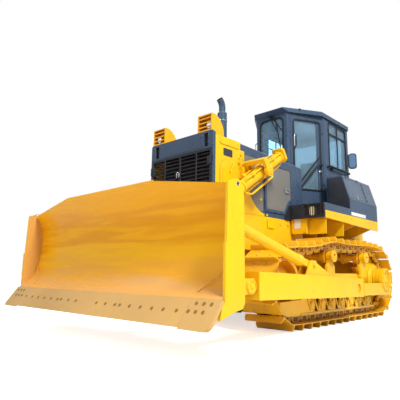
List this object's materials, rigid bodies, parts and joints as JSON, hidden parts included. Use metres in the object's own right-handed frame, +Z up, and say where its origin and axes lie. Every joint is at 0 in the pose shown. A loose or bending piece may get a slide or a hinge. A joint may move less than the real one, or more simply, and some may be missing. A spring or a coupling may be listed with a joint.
{
  "type": "bulldozer",
  "caption": "Crawler bulldozer with a straight-tilt blade on two push arms, lift cylinders beside the hood, a glazed cab and oval tracks on box frames.",
  "frame": {"origin": "middle of the overall box at ground level", "axes": "+Z up, -Y the front of the machine, +X its left side"},
  "size_m": [3.696, 5.7199, 3.525],
  "materials": {
    "black_paint": "satin black enamel",
    "blade_paint": "gloss amber enamel, scuffed",
    "cab_trim": "matt dark plastic",
    "chrome_rod": "polished hard chrome",
    "core_metal": "dark finned core",
    "engine_iron": "oily cast iron",
    "grey_paint": "satin blue-grey enamel",
    "seat_cloth": "black woven cloth",
    "window_glass": "tinted clear glass",
    "yellow_paint": "gloss yellow enamel, dusty"
  },
  "bodies": {
    "blade": {"blade_braces": "yellow_paint", "cutting_edge": "blade_paint", "end_bits": "blade_paint", "end_plates": "yellow_paint", "moldboard": "blade_paint", "push_arm_left": "yellow_paint", "push_arm_right": "yellow_paint"},
    "box_lid_left": {"box_lid_left": "grey_paint"},
    "box_lid_right": {"box_lid_right": "grey_paint"},
    "cab_door_left": {"cab_door_left": "grey_paint", "door_window_left": "window_glass"},
    "cab_door_right": {"cab_door_right": "grey_paint", "door_window_right": "window_glass"},
    "machine": {"cab_floor": "grey_paint", "cab_front": "grey_paint", "cab_rear": "grey_paint", "cab_roof": "grey_paint", "cab_side_left": "grey_paint", "cab_side_right": "grey_paint", "cab_windows": "window_glass", "carrier_rollers": "yellow_paint", "console": "cab_trim", "cross_shafts": "yellow_paint", "drawbar": "yellow_paint", "engine_block": "engine_iron", "exhaust_stack": "grey_paint", "fender_left": "yellow_paint", "fender_right": "yellow_paint", "final_drives": "yellow_paint", "fuel_tank": "yellow_paint", "grille_frame": "grey_paint", "headlights": "yellow_paint", "hood_side_left": "grey_paint", "hood_side_right": "grey_paint", "hood_top": "grey_paint", "hull_shoulders": "yellow_paint", "idlers": "yellow_paint", "lamp_panels": "black_paint", "lift_yokes": "yellow_paint", "main_frame": "yellow_paint", "operator_seat": "seat_cloth", "platform": "grey_paint", "radiator_core": "core_metal", "radiator_guard": "yellow_paint", "side_box_left": "grey_paint", "side_box_right": "grey_paint", "sprockets": "yellow_paint", "track_frame_left": "yellow_paint", "track_frame_right": "yellow_paint", "track_left": "yellow_paint", "track_right": "yellow_paint", "track_rollers": "yellow_paint"},
    "engine_door_left": {"engine_door_left": "grey_paint"},
    "engine_door_right": {"engine_door_right": "grey_paint"},
    "grille_door_left": {"grille_door_left": "black_paint"},
    "grille_door_right": {"grille_door_right": "black_paint"},
    "lift_barrel_left": {"lift_barrel_left": "yellow_paint"},
    "lift_barrel_right": {"lift_barrel_right": "yellow_paint"},
    "lift_rod_left": {"lift_rod_left": "chrome_rod"},
    "lift_rod_right": {"lift_rod_right": "chrome_rod"}
  },
  "joints": [
    {"name": "blade_lift", "type": "hinge", "parent": "machine", "child": "blade", "pos_m": [0, 0.48, 0.5], "axis": [1, 0, 0], "range_deg": [-16.5, 13.8]},
    {"name": "lift_barrel_left_swing", "type": "hinge", "parent": "machine", "child": "lift_barrel_left", "pos_m": [0.85, -0.8, 2.015], "axis": [1, 0, 0], "range_deg": [-19.71, 16.53]},
    {"name": "lift_rod_left_slide", "type": "slide", "parent": "lift_barrel_left", "child": "lift_rod_left", "axis": [0, -0.8335, -0.5526], "range_m": [-0.5531, 0.4629]},
    {"name": "lift_barrel_right_swing", "type": "hinge", "parent": "machine", "child": "lift_barrel_right", "pos_m": [-0.85, -0.8, 2.015], "axis": [1, 0, 0], "range_deg": [-19.71, 16.53]},
    {"name": "lift_rod_right_slide", "type": "slide", "parent": "lift_barrel_right", "child": "lift_rod_right", "axis": [0, -0.8335, -0.5526], "range_m": [-0.5531, 0.4629]},
    {"name": "grille_door_left_hinge", "type": "hinge", "parent": "machine", "child": "grille_door_left", "pos_m": [0.577, -1.4743, 1.7], "axis": [0, 0, 1], "range_deg": [0, 95]},
    {"name": "engine_door_left_hinge", "type": "hinge", "parent": "machine", "child": "engine_door_left", "pos_m": [0.6143, -0.347, 1.95], "axis": [0, 0, -1], "range_deg": [0, 60]},
    {"name": "cab_door_left_hinge", "type": "hinge", "parent": "machine", "child": "cab_door_left", "pos_m": [0.66925, 1.3501, 2.65], "axis": [0, 0, 1], "range_deg": [0, 60]},
    {"name": "box_lid_left_hinge", "type": "hinge", "parent": "machine", "child": "box_lid_left", "pos_m": [1.09289, 1.51, 2.28422], "axis": [0, -1, 0], "range_deg": [0, 70]},
    {"name": "grille_door_right_hinge", "type": "hinge", "parent": "machine", "child": "grille_door_right", "pos_m": [-0.577, -1.4743, 1.7], "axis": [0, 0, -1], "range_deg": [0, 95]},
    {"name": "engine_door_right_hinge", "type": "hinge", "parent": "machine", "child": "engine_door_right", "pos_m": [-0.6143, -0.347, 1.95], "axis": [0, 0, 1], "range_deg": [0, 60]},
    {"name": "cab_door_right_hinge", "type": "hinge", "parent": "machine", "child": "cab_door_right", "pos_m": [-0.66925, 1.3501, 2.65], "axis": [0, 0, -1], "range_deg": [0, 60]},
    {"name": "box_lid_right_hinge", "type": "hinge", "parent": "machine", "child": "box_lid_right", "pos_m": [-1.09289, 1.51, 2.28422], "axis": [0, 1, 0], "range_deg": [0, 70]}
  ],
  "couplings": [
    {"joint": "lift_barrel_left_swing", "follows": "blade_lift", "ratio": 1.1764},
    {"joint": "lift_rod_left_slide", "follows": "blade_lift", "m_per_rad": 1.9136},
    {"joint": "lift_barrel_right_swing", "follows": "blade_lift", "ratio": 1.1764},
    {"joint": "lift_rod_right_slide", "follows": "blade_lift", "m_per_rad": 1.9136}
  ]
}
